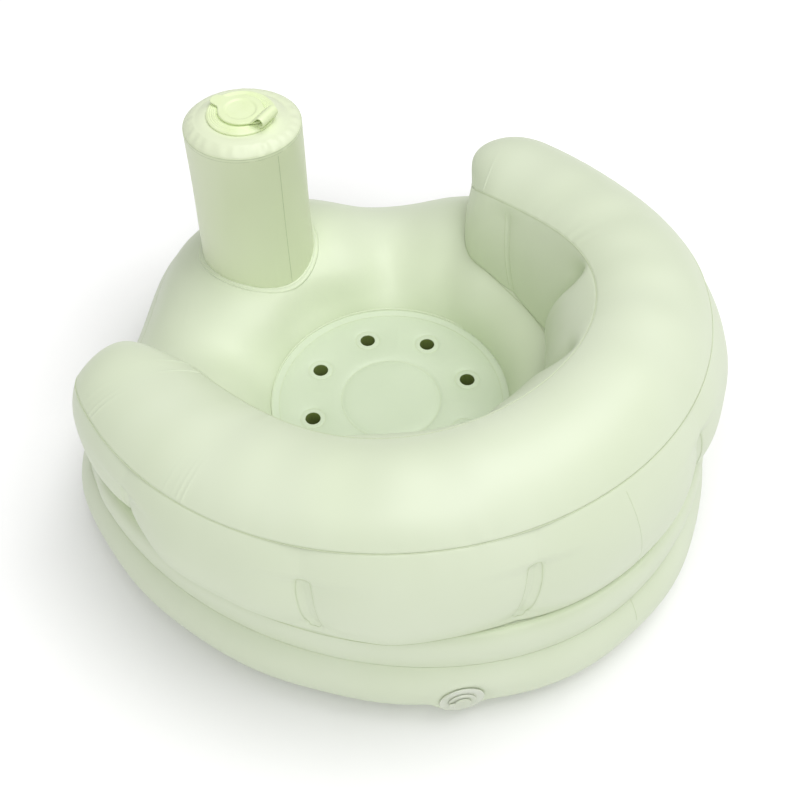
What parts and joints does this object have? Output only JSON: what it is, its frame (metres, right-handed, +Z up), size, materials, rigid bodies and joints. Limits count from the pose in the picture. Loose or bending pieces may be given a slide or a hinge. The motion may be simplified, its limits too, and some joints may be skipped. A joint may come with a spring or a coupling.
{
  "type": "inflatable baby sofa",
  "caption": "Inflatable baby sofa: air ring with a curved backrest, a drained seat pad, a soft press-pump post between the legs with a capped intake valve, and a rear inflation valve.",
  "frame": {"origin": "on the floor under the middle of the base's outline, which is the seat pad's axis", "axes": "+Z up, +Y towards the backrest, -Y towards the pump post and the sitter's legs, +X to the sitter's left"},
  "size_m": [0.5286, 0.5586, 0.2654],
  "materials": {
    "pvc_film": "soft matte welded film",
    "pvc_tie": "soft matte film inside the backrest",
    "lime_valve": "soft moulded vinyl, satin",
    "clear_valve": "clear moulded vinyl, glossy",
    "sponge": "open-cell foam",
    "flap_film": "thin smooth flap film"
  },
  "bodies": {
    "sofa": {"base_top_panel": "pvc_film", "base_lower_panel": "pvc_film", "base_bottom_sheet": "pvc_film", "seat_top_sheet": "pvc_film", "seat_bottom_sheet": "pvc_film", "drain_eyelets": "pvc_film", "backrest_top_panel": "pvc_film", "backrest_inner_wall": "pvc_film", "backrest_outer_wall": "pvc_film", "backrest_tie_1": "pvc_tie", "backrest_tie_2": "pvc_tie", "backrest_tie_3": "pvc_tie", "backrest_tie_4": "pvc_tie", "backrest_tie_5": "pvc_tie", "backrest_tie_6": "pvc_tie", "post_sleeve": "pvc_film", "post_foot_flange": "pvc_film", "pump_sponge": "sponge", "outlet_seat": "flap_film", "valve_collar": "clear_valve"},
    "pump_head": {"post_top_disc": "pvc_film", "intake_flange": "lime_valve"},
    "intake_cap": {"intake_cap": "lime_valve", "cap_strap": "lime_valve"},
    "outlet_flap": {"outlet_flap": "flap_film"},
    "valve_stem": {"valve_stem": "clear_valve"},
    "valve_plug": {"valve_plug": "clear_valve", "plug_tether": "clear_valve"},
    "stem_flap": {"stem_flap": "flap_film"}
  },
  "joints": [
    {"name": "pump_press", "type": "slide", "parent": "sofa", "child": "pump_head", "axis": [0, 0, 1], "range_m": [-0.07, 0], "stiffness_N_per_m": 600, "deforming": ["post_sleeve", "pump_sponge"]},
    {"name": "cap_swing", "type": "hinge", "parent": "pump_head", "child": "intake_cap", "pos_m": [-0.00409, -0.15582, 0.2609], "axis": [-0.9483, -0.3173, 0], "range_deg": [0, 150]},
    {"name": "outlet_flap_lift", "type": "hinge", "parent": "sofa", "child": "outlet_flap", "pos_m": [0.004, -0.168, 0.1093], "axis": [1, 0, 0], "range_deg": [0, 40], "stiffness_Nm_per_rad": 0.004},
    {"name": "valve_stem_pop", "type": "slide", "parent": "sofa", "child": "valve_stem", "axis": [0.4848, 0.8746, 0], "range_m": [0, 0.012]},
    {"name": "plug_swing", "type": "hinge", "parent": "valve_stem", "child": "valve_plug", "pos_m": [0.14095, 0.23366, 0.036], "axis": [0, 0, -1], "range_deg": [0, 110]},
    {"name": "stem_flap_lift", "type": "hinge", "parent": "valve_stem", "child": "stem_flap", "pos_m": [0.12232, 0.22066, 0.0416], "axis": [-0.8746, 0.4848, 0], "range_deg": [0, 35], "stiffness_Nm_per_rad": 0.001}
  ]
}
